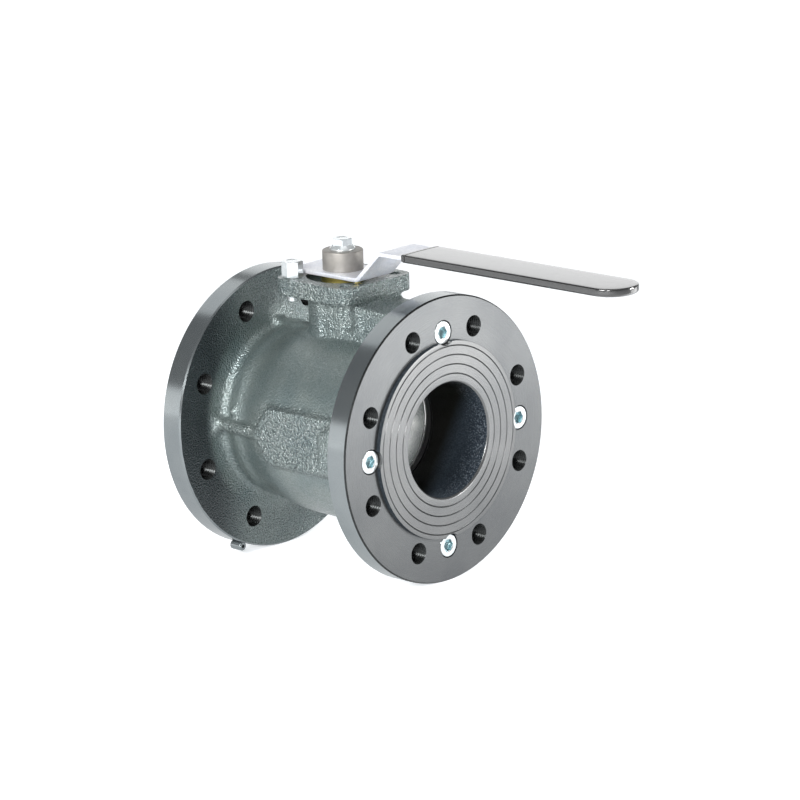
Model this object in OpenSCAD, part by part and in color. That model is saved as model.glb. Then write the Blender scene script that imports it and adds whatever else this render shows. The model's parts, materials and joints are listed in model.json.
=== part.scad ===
// Two-flange quarter-turn ball valve, DN80 PN16, with a hand lever.
// Units are millimetres. The origin is the centre of the rear sealing face,
// +X runs through the valve to the front flange and +Z goes up the stem.
// The lever is modelled open, along +X. It closes 90 degrees clockwise, seen from above.

/* [Flanges] */
// Sealing face to sealing face
face_to_face = 180; // [178:0.5:184]
// Outside diameter of both flanges
flange_d = 200; // [190:1:210]
// Thickness of a flange without its raised face
flange_t = 17; // [14:0.5:22]
// Raised sealing face diameter
raised_d = 138; // [130:0.5:142]
// Raised sealing face height
raised_h = 3; // [2:0.5:4]
// Flow passage diameter
port_d = 80; // [76:0.5:82]
// Pitch circle of the flange bolts
bolt_pcd = 160; // [150:1:170]
// Number of flange bolts
bolt_n = 8; // [4:4:12]
// Tapped hole diameter for an M16 flange bolt
tap_d = 14; // [13.5:0.1:14.5]
// Edge chamfer of the flange rims
rim_chamfer = 1; // [0.5:0.1:2]

/* [Body] */
// Distance of the stem axis from the rear sealing face
stem_x = 85; // [80:0.5:90]
// Radius of the ball cavity
cavity_r = 57.5; // [57:0.1:60]
// Distance of the flat of each side boss from the flow axis
side_flat = 70.5; // [69:0.5:75]
// Half height of a side boss
side_half = 20; // [15:0.5:25]
// Radius of the round neck under the top pad
neck_r = 25; // [22:0.5:28]
// Half width of the front neck block
block_half = 23; // [18:0.5:26]

/* [Top pad] */
// Underside of the pad
pad_z0 = 91; // [88:0.5:95]
// Top face of the pad
pad_z1 = 103; // [98:0.5:108]
// Width across the square pad
pad_w = 69; // [65:0.5:75]
// Corner radius of the pad
pad_corner = 8; // [4:0.5:12]
// Pitch circle of the four pad holes
pad_pcd = 70; // [68:0.5:72]
// Pad hole diameter
pad_hole_d = 8.5; // [8:0.1:9.5]
// Diameter of the shallow recess in the pad
recess_d = 51; // [48:0.5:57]

/* [Insert] */
// Thickness of the insert rim behind the bolting face
insert_rim_t = 14; // [10:0.5:15]
// Distance of the insert screws from the flow axis
insert_screw_r = 75; // [74:0.5:77]
// Head diameter of an insert screw
insert_head_d = 16; // [14:0.5:18]
// Head height of an insert screw
insert_head_h = 7; // [5:0.5:8]

/* [Ball and seats] */
// Ball diameter
ball_d = 110; // [108:0.5:112]
// Width of the drive slot in the ball
slot_w = 13.1; // [13.05:0.05:13.3]

/* [Stem] */
// Stem shaft diameter
stem_d = 22; // [20:0.5:24]
// Stem shoulder diameter
shoulder_d = 30; // [28:0.5:31]
// Drive square of the stem, across flats
square = 15; // [14:0.1:15.5]

/* [Lever] */
// Underside of the lever's base plate
lever_z = 104.5; // [104:0.1:106]
// Plate thickness
lever_t = 3; // [2.5:0.1:4]
// Plate width
lever_w = 34.9; // [30:0.1:35]
// Rise of the grip part above the base plate
lever_rise = 21; // [15:0.5:30]
// Distance from the stem axis to the lever's tip, sleeve included
lever_reach = 262; // [220:1:300]
// Start of the grip sleeve from the stem axis
sleeve_start = 72; // [65:1:90]
// Sleeve width
sleeve_w = 36; // [34:0.5:40]
// Sleeve thickness over both skins
sleeve_t = 6; // [5:0.5:8]

/* [Hidden] */
$fn = 96;
e = 1;                                   // overshoot of a cut past a face
flange_r = flange_d / 2;
raised_r = raised_d / 2;
port_r = port_d / 2;
tap_r = tap_d / 2;
rear_back = raised_h + flange_t;         // inner face of the rear flange
front_face = face_to_face - raised_h;    // bolting face of the front flange
front_back = front_face - flange_t;      // inner face of the front flange
rim_x = front_face - insert_rim_t;       // floor of the insert's recess
head_x = front_face - insert_head_h;     // floor under the insert screw heads
screw_x0 = head_x - 17;                  // inner end of the insert screws
sleeve_r = cavity_r - 0.1;               // outside of the insert's long sleeve
insert_x0 = stem_x + 29;                 // inner end of the insert
ball_r = ball_d / 2;
seat_in = 40.2;                          // seat ring inner radius
seat_out = 49.95;                        // seat ring outer radius
spring_in = 41;                          // inner radius of the elastic ring behind it
pocket_r = 50;                           // seat pocket radius
pocket_x = 43;                           // pocket floor from the ball centre
seat_face = 30;                          // seat ring's ball-side face from the ball centre
boss_x = [60, 74];                       // tip of the side boss's outline and its first corner
boss_in = 55;                            // inner plane of the side boss, inside the barrel
screw_block_x0 = 134;                    // rear end of the blocks around the insert screws
screw_block_half = 14;                   // half width of these blocks
screw_block_out = 84;                    // their outer plane, from the flow axis
rib_t = 10;                              // thickness of the ribs behind the rear flange
rib_len = 50;                            // their length along the flow axis
thread_r = 4;                            // nominal M8 radius, drawn as a plain cylinder
thread_gap = 0.02;                       // radial gap that stands for the thread
hex_gap = 0.75;                          // radial gap around an insert screw head
insert_shank_r = 5;                      // nominal M10 radius
stem_r = stem_d / 2;
bush_gap = 0.05;                         // radial running gap of the stem
stem_bore_r = 13;                        // body bore that holds bearing and gland
press_gap = 0.05;                        // radial gap of the parts seated in that bore
tang_w = 13;                             // width of the stem's drive tang
tang_z = 46.2;                           // lower end of the tang
ring_heights = [84.2, 88.6];             // centres of the two stem O-rings
ring_groove_r = 9.55;                    // floor of their grooves
ring_rc = 1.68;                          // cross-section radius of these rings
gland_r = 15.5;                          // outside of the gland ring
gland_top = 104;
contact_z = 60;                          // height of the antistatic contact in the shoulder
chamber_r = 15.6;                        // chamber around the stem shoulder
chamber_z = 65;                          // roof of the chamber
shoulder_z0 = 57;
shoulder_z1 = 62.95;
stem_top = 116.5;
bolt_z0 = 98;                            // lower end of the lever bolt
stop_nut_h = 6.28;
stop_head_z0 = 109.3;
stop_head_h = 5.3;
plate_end = -33;                         // rear end of the lever's base plate
sleeve_wall = 1.6;                       // wall of the grip sleeve at its edges
pad_off = pad_pcd / 2 * cos(45);         // pad hole offset from the stem axis
recess_z = pad_z1 - 3;
hub_z0 = lever_z + lever_t;
hub_z1 = 121.3;
lever_half = lever_w / 2;
hex_r = 6.5 / cos(30);                   // corner radius of a 13 mm hexagon
groove_radii = [46.2, 52.7, 59.2, 65.6]; // gasket grooves in both sealing faces

// Points on an arc of radius r about c, from angle a0 to a1.
function arc(c, r, a0, a1, n = 6) =
    [for (i = [0:n]) c + r * [cos(a0 + (a1 - a0) * i / n), sin(a0 + (a1 - a0) * i / n)]];

// Outline of the revolved casting as [x, radius]: rear flange, necked shoulder ring,
// barrel and front flange.
barrel_line = concat(
    [[0, 20], [0, raised_r], [raised_h, raised_r], [raised_h, flange_r - rim_chamfer],
     [raised_h + rim_chamfer, flange_r], [rear_back - rim_chamfer, flange_r],
     [rear_back, flange_r - rim_chamfer], [rear_back, 63], [21.2, 60.6], [23.6, 59], [27, 58.6]],
    [[29.5, 59.8], [31.5, 61.4], [34, 62.3], [37, 61.9], [40, 61.2], [43, 60.9]],
    [[47, 61.4], [52, 62.8], [58, 64.6], [65, 66.2], [75, 67.2], [90, 67.6], [118, 68.3],
     [142, 69.2], [151, 70.6], [156, 73], [159, 76.6], [front_back, 81]],
    [[front_back, flange_r - rim_chamfer], [front_back + rim_chamfer, flange_r],
     [front_face - rim_chamfer, flange_r], [front_face, flange_r - rim_chamfer],
     [front_face, 20]]);

// Turns a profile given as [x, radius] about the flow axis.
module turned_x(points) {
    rotate([90, 0, 90]) rotate_extrude() polygon([for (p = points) [p[1], p[0]]]);
}

// Cylinder along +X that starts at x0.
module rod_x(r, x0, x1) {
    translate([x0, 0, 0]) rotate([0, 90, 0]) cylinder(r = r, h = x1 - x0);
}

// Tube along +X.
module tube_x(r_out, r_in, x0, x1) {
    difference() {
        rod_x(r_out, x0, x1);
        rod_x(r_in, x0 - e, x1 + e);
    }
}

// Tube along +Z about the stem axis.
module tube_z(r_out, r_in, z0, z1) {
    difference() {
        translate([stem_x, 0, z0]) cylinder(r = r_out, h = z1 - z0);
        translate([stem_x, 0, z0 - e]) cylinder(r = r_in, h = z1 - z0 + 2 * e);
    }
}

// Repeats its child at every flange bolt position.
module at_flange_bolts() {
    for (i = [0:bolt_n - 1]) rotate([(i + 0.5) * 360 / bolt_n, 0, 0])
        translate([0, 0, bolt_pcd / 2]) children();
}

// Repeats its child at the four insert screws.
module at_insert_screws() {
    for (i = [0:3]) rotate([i * 90, 0, 0]) translate([0, 0, insert_screw_r]) children();
}

// Shallow V grooves around the flow axis, cut into the plane x = x0.
module face_grooves(x0, side) {
    for (r = groove_radii)
        turned_x([[x0 + side, r - 1], [x0 + side, r + 1], [x0 - side * 0.5, r]]);
}

// Square pad with round corners, open at the top for the stem.
module pad_plate() {
    half = pad_w / 2;
    inner = half - pad_corner;
    translate([stem_x, 0, pad_z0]) {
        translate([-half, -inner, 0]) cube([2 * half, 2 * inner, pad_z1 - pad_z0]);
        translate([-inner, -half, 0]) cube([2 * inner, 2 * half, pad_z1 - pad_z0]);
        for (sx = [-1, 1], sy = [-1, 1]) translate([sx * inner, sy * inner, 0])
            cylinder(r = pad_corner, h = pad_z1 - pad_z0);
    }
}

// Flat-faced boss on one side of the barrel, with its rib to the rear flange and the
// block that carries the insert screw.
module side_boss() {
    translate([0, -boss_in, 0]) rotate([90, 0, 0]) {
        linear_extrude(side_flat - boss_in)
            polygon([[boss_x[0], 1], [boss_x[1], side_half + 1], [front_back + e, side_half + 1],
                     [front_back + e, -side_half], [boss_x[1], -side_half]]);
        linear_extrude(screw_block_out - boss_in)
            polygon([[screw_block_x0, -screw_block_half], [screw_block_x0, 14], [147, 21],
                     [front_back + e, 21], [front_back + e, -screw_block_half]]);
    }
    translate([0, 0, -4]) linear_extrude(8)
        polygon([[rear_back - e, -54], [rear_back - e, -66], [66, -69.8], [66, -54]]);
    translate([rear_back - e, -68.5, -6]) cube([e + 2.5, 10, 12]);
}

// Everything of the casting above the barrel: neck, front block and pad.
module top_works() {
    translate([stem_x, 0, 50]) cylinder(r = neck_r, h = pad_z0 - 50 + e);
    translate([stem_x, 0, pad_z0 - 5]) cylinder(r1 = neck_r, r2 = neck_r + 5, h = 5 + e);
    translate([0, -block_half, 0]) rotate([90, 0, 0]) mirror([0, 0, 1])
        linear_extrude(2 * block_half)
            polygon([[stem_x + 7, 45], [stem_x + 7, pad_z0 + e], [stem_x + 33, pad_z0 + e],
                     [stem_x + 33, 88.5], [140, 87.5], [front_back + e, 86],
                     [front_back + e, 45]]);
    translate([rear_back - e, -rib_t / 2, 40]) cube([rib_len, rib_t, 24]);
    pad_plate();
}

// Clearances cut into the outside of the top works.
module top_reliefs() {
    for (s = [-1, 1]) {
        // slot between the round neck and the front block
        translate([stem_x - 0.5, s * (block_half + 2) - 6, 64]) cube([7.5, 12, pad_z0 - 64]);
        // scallop under each front pad hole
        translate([stem_x + pad_off - 1, s * (pad_off + 1.5), 71])
            cylinder(r = 7, h = pad_z0 - 71);
        // waist of the front block toward its flange
        translate([stem_x + 36, s * (block_half + 4) - 6, 73]) cube([45, 12, 20]);
    }
}

// Flow passage, seat pocket, ball cavity and the recess for the insert.
module flow_cavity() {
    t0 = asin(pocket_r / cavity_r);
    turned_x(concat(
        [[-e, 0], [-e, port_r], [stem_x - pocket_x, port_r], [stem_x - pocket_x, pocket_r]],
        [for (i = [0:5]) let (t = t0 + (90 - t0) * i / 5)
            [stem_x - cavity_r * cos(t), cavity_r * sin(t)]],
        [[rim_x, cavity_r], [rim_x, raised_r + 0.05], [front_face + e, raised_r + 0.05],
         [front_face + e, 0]]));
}

module body() color([0.36, 0.41, 0.41]) difference() {
    union() {
        turned_x(barrel_line);
        side_boss();
        mirror([0, 1, 0]) side_boss();
        top_works();
        // rib and screw block on the underside
        translate([rear_back - e, -rib_t / 2, -66]) cube([rib_len, rib_t, 20]);
        translate([screw_block_x0, -screw_block_half, -screw_block_out])
            cube([front_back + e - screw_block_x0, 2 * screw_block_half, 30]);
    }
    top_reliefs();
    flow_cavity();
    face_grooves(0, -1);
    // flange bolt holes
    at_flange_bolts() rod_x(tap_r, raised_h - e, rear_back + e);
    at_flange_bolts() rod_x(tap_r, 146, front_face + e);
    // insert screw holes and their counterbores
    at_insert_screws() rod_x(insert_shank_r + thread_gap, screw_x0 - 1, head_x + e);
    at_insert_screws() rod_x(insert_head_d / 2 + hex_gap, head_x, front_face + e);
    // stem chamber, bearing bore and pad recess
    translate([stem_x, 0, 50]) cylinder(r = chamber_r, h = chamber_z - 50);
    translate([stem_x, 0, 60]) cylinder(r = stem_bore_r, h = pad_z1 - 60 + e);
    translate([stem_x, 0, recess_z]) cylinder(d = recess_d, h = pad_z1 - recess_z + e);
    translate([stem_x, 0, recess_z - 4]) cylinder(r = gland_r + press_gap, h = 4 + e);
    // three free pad holes and the smaller tapped hole of the stop screw
    for (p = [[1, -1], [1, 1], [-1, 1]])
        translate([stem_x + p[0] * pad_off, p[1] * pad_off, pad_z0 - 8])
            cylinder(d = pad_hole_d, h = pad_z1 - pad_z0 + 8 + e);
    translate([stem_x - pad_off, -pad_off, pad_z0 - e])
        cylinder(r = thread_r + thread_gap, h = pad_z1 - pad_z0 + 2 * e);
}

module end_insert() color([0.52, 0.54, 0.56]) difference() {
    turned_x([[insert_x0, pocket_r + 0.05], [stem_x + pocket_x, pocket_r + 0.05],
              [stem_x + pocket_x, port_r], [face_to_face - 1.2, port_r],
              [face_to_face, port_r + 1.2], [face_to_face, raised_r - 0.4],
              [face_to_face - 0.4, raised_r], [rim_x + 0.02, raised_r],
              [rim_x + 0.02, sleeve_r], [156.2, sleeve_r], [156.2, 54], [152, 54],
              [152, sleeve_r], [insert_x0 + 1, sleeve_r], [insert_x0, sleeve_r - 1]]);
    face_grooves(face_to_face, 1);
    at_insert_screws() rod_x(insert_head_d / 2 + hex_gap, head_x, face_to_face + e);
}

// Round ring of cross-section radius rc, centred on the flow axis at x.
module torus_x(x, r, rc) {
    translate([x, 0, 0]) rotate([90, 0, 90]) rotate_extrude() translate([r, 0]) circle(r = rc);
}

// Round ring of cross-section radius rc, centred on the stem axis at z.
module torus_z(z, r, rc) {
    translate([stem_x, 0, z]) rotate_extrude() translate([r, 0]) circle(r = rc);
}

module insert_seal_ring() color([0.06, 0.06, 0.06]) torus_x(154.1, 55.74, 1.72);

// Four low-head socket screws; each is a separate solid.
module insert_screws() color([0.85, 0.87, 0.88]) at_insert_screws() difference() {
    union() {
        rod_x(insert_shank_r, screw_x0, head_x + e);
        turned_x([[head_x, 0], [head_x, insert_head_d / 2], [front_face - 0.6, insert_head_d / 2],
                  [front_face, insert_head_d / 2 - 0.6], [front_face, 0]]);
    }
    translate([front_face - 4, 0, 0]) rotate([0, 90, 0])
        cylinder(r = 4 / cos(30), h = 4 + e, $fn = 6);
}

module ball() color([0.8, 0.81, 0.82]) difference() {
    translate([stem_x, 0, 0]) sphere(r = ball_r);
    rod_x(port_r, stem_x - ball_r, stem_x + ball_r);
    translate([stem_x - slot_w / 2, -ball_r, 46]) cube([slot_w, 2 * ball_r, ball_r]);
}

// Seat ring with a spherical lip; side is -1 at the rear and 1 at the front.
module seat_ring(side) {
    difference() {
        tube_x(seat_out, seat_in, stem_x + (side > 0 ? seat_face : -pocket_x + 2),
               stem_x + (side > 0 ? pocket_x - 2 : -seat_face));
        translate([stem_x, 0, 0]) sphere(r = ball_r + 0.04);
    }
}

// Elastic ring behind a seat ring.
module seat_spring_ring(side) {
    tube_x(seat_out - 0.1, spring_in, stem_x + (side > 0 ? pocket_x - 1.98 : -pocket_x + 0.02),
           stem_x + (side > 0 ? pocket_x - 0.02 : -pocket_x + 1.98));
}

module seat_ring_rear() color([0.16, 0.16, 0.17]) seat_ring(-1);
module seat_ring_front() color([0.16, 0.16, 0.17]) seat_ring(1);
module seat_spring_ring_rear() color([0.08, 0.08, 0.08]) seat_spring_ring(-1);
module seat_spring_ring_front() color([0.08, 0.08, 0.08]) seat_spring_ring(1);

module stem() color([0.75, 0.76, 0.77]) difference() {
    union() {
        translate([stem_x - tang_w / 2, -stem_r, tang_z])
            cube([tang_w, stem_d, shoulder_z0 - tang_z + e]);
        translate([stem_x, 0, shoulder_z0]) cylinder(d = shoulder_d, h = shoulder_z1 - shoulder_z0);
        translate([stem_x, 0, shoulder_z0]) cylinder(r = stem_r, h = lever_z - shoulder_z0);
        translate([stem_x - square / 2, -square / 2, lever_z - 2])
            cube([square, square, stem_top - lever_z + 2]);
    }
    // two O-ring grooves
    for (z = ring_heights) tube_z(stem_r + e, ring_groove_r, z - 2, z + 2);
    // tapped hole for the lever bolt
    translate([stem_x, 0, bolt_z0 - e]) cylinder(r = thread_r + thread_gap, h = 30);
    // side hole of the antistatic contact
    translate([stem_x, 5, contact_z]) rotate([-90, 0, 0]) cylinder(r = 1.6, h = 12);
}

module thrust_washer() color([0.16, 0.16, 0.17]) tube_z(15.4, 11.1, 63, 64.98);
module stem_bearing() color([0.16, 0.16, 0.17])
    tube_z(stem_bore_r - press_gap, stem_r + bush_gap, 66, 81.5);
module stem_o_ring_lower() color([0.06, 0.06, 0.06])
    torus_z(ring_heights[0], ring_groove_r + ring_rc + 0.03, ring_rc);
module stem_o_ring_upper() color([0.06, 0.06, 0.06])
    torus_z(ring_heights[1], ring_groove_r + ring_rc + 0.03, ring_rc);

// Brass gland with a lower collar that sits in the pad.
module gland_ring() color([0.78, 0.66, 0.3]) difference() {
    union() {
        tube_z(gland_r, stem_r + bush_gap, recess_z - 3.98, gland_top);
        tube_z(stem_bore_r - press_gap, stem_r + bush_gap, 91.5, recess_z - 3);
    }
    tube_z(13.3, stem_r - e, gland_top - 1.8, gland_top + e);
}

module dust_seal() color([0.07, 0.07, 0.07])
    tube_z(13.25, stem_r + bush_gap, gland_top - 1.75, gland_top - 0.1);

// Coils of the small contact spring, each a closed turn.
module antistatic_spring() color([0.8, 0.8, 0.8])
    for (i = [0:6]) translate([stem_x, 5.5 + 1.1 * i, contact_z]) rotate([90, 0, 0])
        rotate_extrude($fn = 24) translate([1.1, 0]) circle(r = 0.4, $fn = 14);

module antistatic_ball() color([0.8, 0.8, 0.8]) translate([stem_x, 13.95, contact_z]) sphere(r = 1.5);

// Side view of the lever strip as [x from the stem axis, z]: base plate, 45 degree rise, grip part.
function lever_side() =
    let (t = lever_t, k = tan(22.5), x0 = 29, ri = 3,
         x1 = x0 + lever_rise, zt = hub_z0, zg = hub_z0 + lever_rise,
         low = [x0 - ri * k, zt + ri], high = [x1 + t * k + ri * k, zg - t - ri])
    concat([[plate_end, zt]], arc(low, ri, -90, -45), arc(high, ri + t, 135, 90),
           [[lever_reach, zg], [lever_reach, zg - t]], arc(high, ri, 90, 135),
           arc(low, ri + t, -45, -90), [[plate_end, zt - t]]);

module lever() color([0.78, 0.8, 0.83]) difference() {
    tip_r = sleeve_w / 2 - sleeve_wall - 0.05;
    tip_x = lever_reach - sleeve_w / 2;
    intersection() {
        translate([stem_x, 20, 0]) rotate([90, 0, 0]) linear_extrude(40) polygon(lever_side());
        translate([stem_x, 0, lever_z - e]) {
            linear_extrude(lever_rise + lever_t + 2 * e)
                polygon([[plate_end, lever_half - 3], [plate_end + 3, lever_half],
                         [60, lever_half], [70, tip_r], [tip_x, tip_r], [tip_x, -tip_r],
                         [70, -tip_r], [60, -lever_half], [plate_end + 3, -lever_half],
                         [plate_end, -lever_half + 3]]);
            translate([tip_x, 0, 0]) cylinder(r = tip_r, h = lever_rise + lever_t + 2 * e);
        }
    }
    translate([stem_x - square / 2 - 0.1, -square / 2 - 0.1, lever_z - e])
        cube([square + 0.2, square + 0.2, lever_t + 2 * e]);
}

// Flat strip with a round end, for the sleeve and its pocket.
module grip_shape(half, x0, z0, t) {
    translate([stem_x, 0, z0]) {
        translate([x0, -half, 0]) cube([lever_reach - sleeve_w / 2 - x0, 2 * half, t]);
        translate([lever_reach - sleeve_w / 2, 0, 0]) cylinder(r = half, h = t);
    }
}

module grip_sleeve() color([0.05, 0.05, 0.05]) difference() {
    mid = hub_z0 + lever_rise - lever_t / 2;
    grip_shape(sleeve_w / 2, sleeve_start, mid - sleeve_t / 2, sleeve_t);
    grip_shape(sleeve_w / 2 - sleeve_wall, sleeve_start - e, mid - lever_t / 2 - 0.03,
               lever_t + 0.06);
}

module hub_collar() color([0.72, 0.7, 0.68]) difference() {
    translate([stem_x, 0, 0]) rotate_extrude()
        polygon([[0, hub_z0], [14.2, hub_z0], [14.2, hub_z1 - 0.7], [13.5, hub_z1], [0, hub_z1]]);
    translate([stem_x, 0, hub_z0 - e]) cylinder(r = 10.8, h = stem_top + 0.4 - hub_z0 + e);
    translate([stem_x, 0, hub_z0]) cylinder(r = thread_r + 0.3, h = 20);
}

// Hexagon flange bolt on the stem.
module lever_bolt() color([0.82, 0.84, 0.86]) translate([stem_x, 0, 0]) {
    translate([0, 0, bolt_z0]) cylinder(r = thread_r, h = hub_z1 - bolt_z0 + 0.5);
    translate([0, 0, hub_z1]) rotate_extrude()
        polygon([[0, 0], [8.9, 0], [8.9, 1], [7, 3.4], [0, 3.4]]);
    translate([0, 0, hub_z1 + 1]) rotate([0, 0, -15]) cylinder(r = hex_r, h = 7.1, $fn = 6);
}

// Hexagon screw in the pad; the lever strip comes to rest against it at both ends of its travel.
module stop_screw() color([0.82, 0.84, 0.86]) translate([stem_x - pad_off, -pad_off, 0]) {
    translate([0, 0, 86]) cylinder(r = thread_r, h = stop_head_z0 + 0.7 - 86);
    translate([0, 0, stop_head_z0]) rotate([0, 0, 15])
        cylinder(r = hex_r, h = stop_head_h, $fn = 6);
}

module stop_nut() color([0.82, 0.84, 0.86]) translate([stem_x - pad_off, -pad_off, pad_z1])
    difference() {
        rotate([0, 0, 15]) cylinder(r = hex_r, h = stop_nut_h, $fn = 6);
        translate([0, 0, -e]) cylinder(r = thread_r + thread_gap, h = stop_nut_h + 2 * e);
    }

// Small drilled lug at the rear flange's lower edge, for a seal wire.
module seal_peg() color([0.3, 0.34, 0.34]) difference() {
    translate([0, -42.5, -93.4]) difference() {
        rod_x(3.2, 9.5, 19.5);
        rod_x(1.3, 8.5, 20.5);
    }
    rod_x(flange_r + 0.02, 5, 25);
}

body();
end_insert();
insert_seal_ring();
insert_screws();
ball();
seat_ring_rear();
seat_ring_front();
seat_spring_ring_rear();
seat_spring_ring_front();
stem();
thrust_washer();
stem_bearing();
stem_o_ring_lower();
stem_o_ring_upper();
gland_ring();
dust_seal();
antistatic_spring();
antistatic_ball();
lever();
grip_sleeve();
hub_collar();
lever_bolt();
stop_screw();
stop_nut();
seal_peg();
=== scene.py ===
"""Looks of the flanged ball valve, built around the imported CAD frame.

Everything is in metres in the CAD's frame: +X through the valve to the front flange,
+Z up the stem. MM turns a size in millimetres into metres.
"""

import json
import math

import bmesh
import bpy
import numpy as np
from mathutils import Matrix, Vector, noise
from mathutils.bvhtree import BVHTree


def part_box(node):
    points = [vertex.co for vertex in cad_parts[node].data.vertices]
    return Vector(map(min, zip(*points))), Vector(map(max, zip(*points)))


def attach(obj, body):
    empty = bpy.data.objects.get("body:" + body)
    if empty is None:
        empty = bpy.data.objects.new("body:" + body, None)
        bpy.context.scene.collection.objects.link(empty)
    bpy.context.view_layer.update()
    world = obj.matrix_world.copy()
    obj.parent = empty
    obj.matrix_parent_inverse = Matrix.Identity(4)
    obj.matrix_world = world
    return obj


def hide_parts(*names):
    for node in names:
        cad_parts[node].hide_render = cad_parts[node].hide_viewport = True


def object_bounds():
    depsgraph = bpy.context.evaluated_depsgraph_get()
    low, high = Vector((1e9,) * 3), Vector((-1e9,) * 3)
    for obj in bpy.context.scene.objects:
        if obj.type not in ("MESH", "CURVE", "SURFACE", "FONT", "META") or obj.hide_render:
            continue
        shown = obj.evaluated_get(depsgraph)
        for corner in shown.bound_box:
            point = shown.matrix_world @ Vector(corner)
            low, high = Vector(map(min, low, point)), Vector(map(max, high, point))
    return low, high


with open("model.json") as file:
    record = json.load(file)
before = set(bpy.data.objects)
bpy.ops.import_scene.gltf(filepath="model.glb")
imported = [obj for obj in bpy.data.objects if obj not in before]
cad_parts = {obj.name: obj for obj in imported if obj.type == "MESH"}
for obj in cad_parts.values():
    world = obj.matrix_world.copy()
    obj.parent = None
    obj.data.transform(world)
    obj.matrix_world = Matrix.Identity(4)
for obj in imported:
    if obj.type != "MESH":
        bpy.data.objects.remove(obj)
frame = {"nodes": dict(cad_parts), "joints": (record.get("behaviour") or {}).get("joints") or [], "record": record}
for factory_object in ("Cube", "Light", "Camera"):
    if factory_object in bpy.data.objects:
        bpy.data.objects.remove(bpy.data.objects[factory_object])
cad_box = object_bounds()

MM = 0.001
nodes = frame["nodes"]
mounts = {m["name"]: m for m in frame["record"]["mounts"]}
HOUSING = "housing"
TURNING = "lever_and_ball"

# ---------------------------------------------------------------- sizes from the frame

front_face_x = mounts["front_bolts"]["pos_m"][0]
rear_face_x = mounts["rear_bolts"]["pos_m"][0]
raised_x = mounts["front_seal_face"]["pos_m"][0]
bolt_circle_r = mounts["front_bolts"]["dims"]["pcd_mm"] / 2 * MM
bolt_count = mounts["front_bolts"]["dims"]["count"]
tap_core_r = mounts["front_bolts"]["dims"]["hole_r_mm"] * MM
port_r = mounts["front_port"]["dims"]["r_mm"] * MM
stem_x = frame["joints"][0]["pos_m"][0]
flange_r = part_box("body")[1].y
pad_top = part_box("body")[1].z
insert_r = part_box("end_insert")[1].y
insert_x0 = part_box("end_insert")[0].x

ball_r = 55 * MM
cavity_r = 57.5 * MM  # room around the ball
pocket_r = 50 * MM  # seat pockets
pocket_off = 43 * MM  # from the ball's centre to the floor of a seat pocket
raised_r = 69 * MM  # raised sealing face
flange_t = 17 * MM
rim_chamfer = 1 * MM
rear_back_x = rear_face_x + flange_t
front_back_x = front_face_x - flange_t
groove_radii = [46.2 * MM, 52.7 * MM, 59.2 * MM, 65.6 * MM]
groove_half, groove_depth = 0.5 * MM, 0.6 * MM
insert_floor_x = front_face_x - 14 * MM
screw_circle_r = 75 * MM  # the screws that hold the insert
screw_seat_x = front_face_x - 7 * MM
screw_hole_x = 152 * MM  # inner end of their holes
counterbore_r = 8.75 * MM
screw_hole_r = 5.05 * MM
pad_half, pad_corner = 34.5 * MM, 8 * MM
pad_underside = 90.9 * MM
pad_hole_off = 24.75 * MM  # from the stem axis, along X and along Y
pad_hole_r = 4.25 * MM
stop_hole_r = 4.02 * MM
recess_r = 25.5 * MM  # round recess in the pad
hex_r = 6.5 * MM / math.cos(math.radians(30))  # across the corners of a 13 mm hexagon, halved
shank_r = 4 * MM  # lever bolt and stop screw

# ---------------------------------------------------------------- mesh helpers


def link(name, mesh):
    obj = bpy.data.objects.new(name, mesh)
    bpy.context.scene.collection.objects.link(obj)
    return obj


def from_faces(name, verts, faces):
    mesh = bpy.data.meshes.new(name)
    mesh.from_pydata([tuple(v) for v in verts], [], faces)
    bm = bmesh.new()
    bm.from_mesh(mesh)
    bmesh.ops.recalc_face_normals(bm, faces=bm.faces)
    bm.to_mesh(mesh)
    bm.free()
    return link(name, mesh)


def rounded(points, steps=4):
    """Closed outline from (a, b) or (a, b, radius) points; a point with a radius becomes an arc."""
    out = []
    for i, p in enumerate(points):
        here = Vector(p[:2])
        if len(p) < 3:
            out.append(tuple(here))
            continue
        before = (Vector(points[i - 1][:2]) - here).normalized()
        after = (Vector(points[(i + 1) % len(points)][:2]) - here).normalized()
        half = before.angle(after) / 2
        centre = here + (before + after).normalized() * (p[2] / math.sin(half))
        start = here + before * (p[2] / math.tan(half)) - centre
        turn = start.angle_signed(here + after * (p[2] / math.tan(half)) - centre)
        for k in range(steps + 1):
            out.append(tuple(centre + Matrix.Rotation(-turn * k / steps, 2) @ start))
    return out


def lathe(name, outline, axis="x", centre=(0, 0, 0), steps=128):
    """Solid of revolution of (along, radius) points; points on the axis become poles."""
    verts, rings = [], []
    for along, radius in outline:
        if radius == 0:
            rings.append([len(verts)] * steps)
            verts.append((along, 0.0, 0.0))
            continue
        rings.append([len(verts) + k for k in range(steps)])
        for k in range(steps):
            a = 2 * math.pi * k / steps
            verts.append((along, radius * math.cos(a), radius * math.sin(a)))
    faces = []
    for i, ring in enumerate(rings):
        nxt = rings[(i + 1) % len(rings)]
        for k in range(steps):
            corner = [ring[k], ring[(k + 1) % steps], nxt[(k + 1) % steps], nxt[k]]
            corner = list(dict.fromkeys(corner))
            if len(corner) > 2:
                faces.append(corner)
    obj = from_faces(name, verts, faces)
    if axis == "z":
        obj.data.transform(Matrix.Rotation(math.radians(-90), 4, "Y"))
    obj.data.transform(Matrix.Translation(centre))
    return obj


def box_solid(name, low, high):
    lo, hi = Vector(low), Vector(high)
    verts = [(x, y, z) for x in (lo.x, hi.x) for y in (lo.y, hi.y) for z in (lo.z, hi.z)]
    faces = [(0, 1, 3, 2), (4, 6, 7, 5), (0, 4, 5, 1), (2, 3, 7, 6), (0, 2, 6, 4), (1, 5, 7, 3)]
    return from_faces(name, verts, faces)


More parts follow.
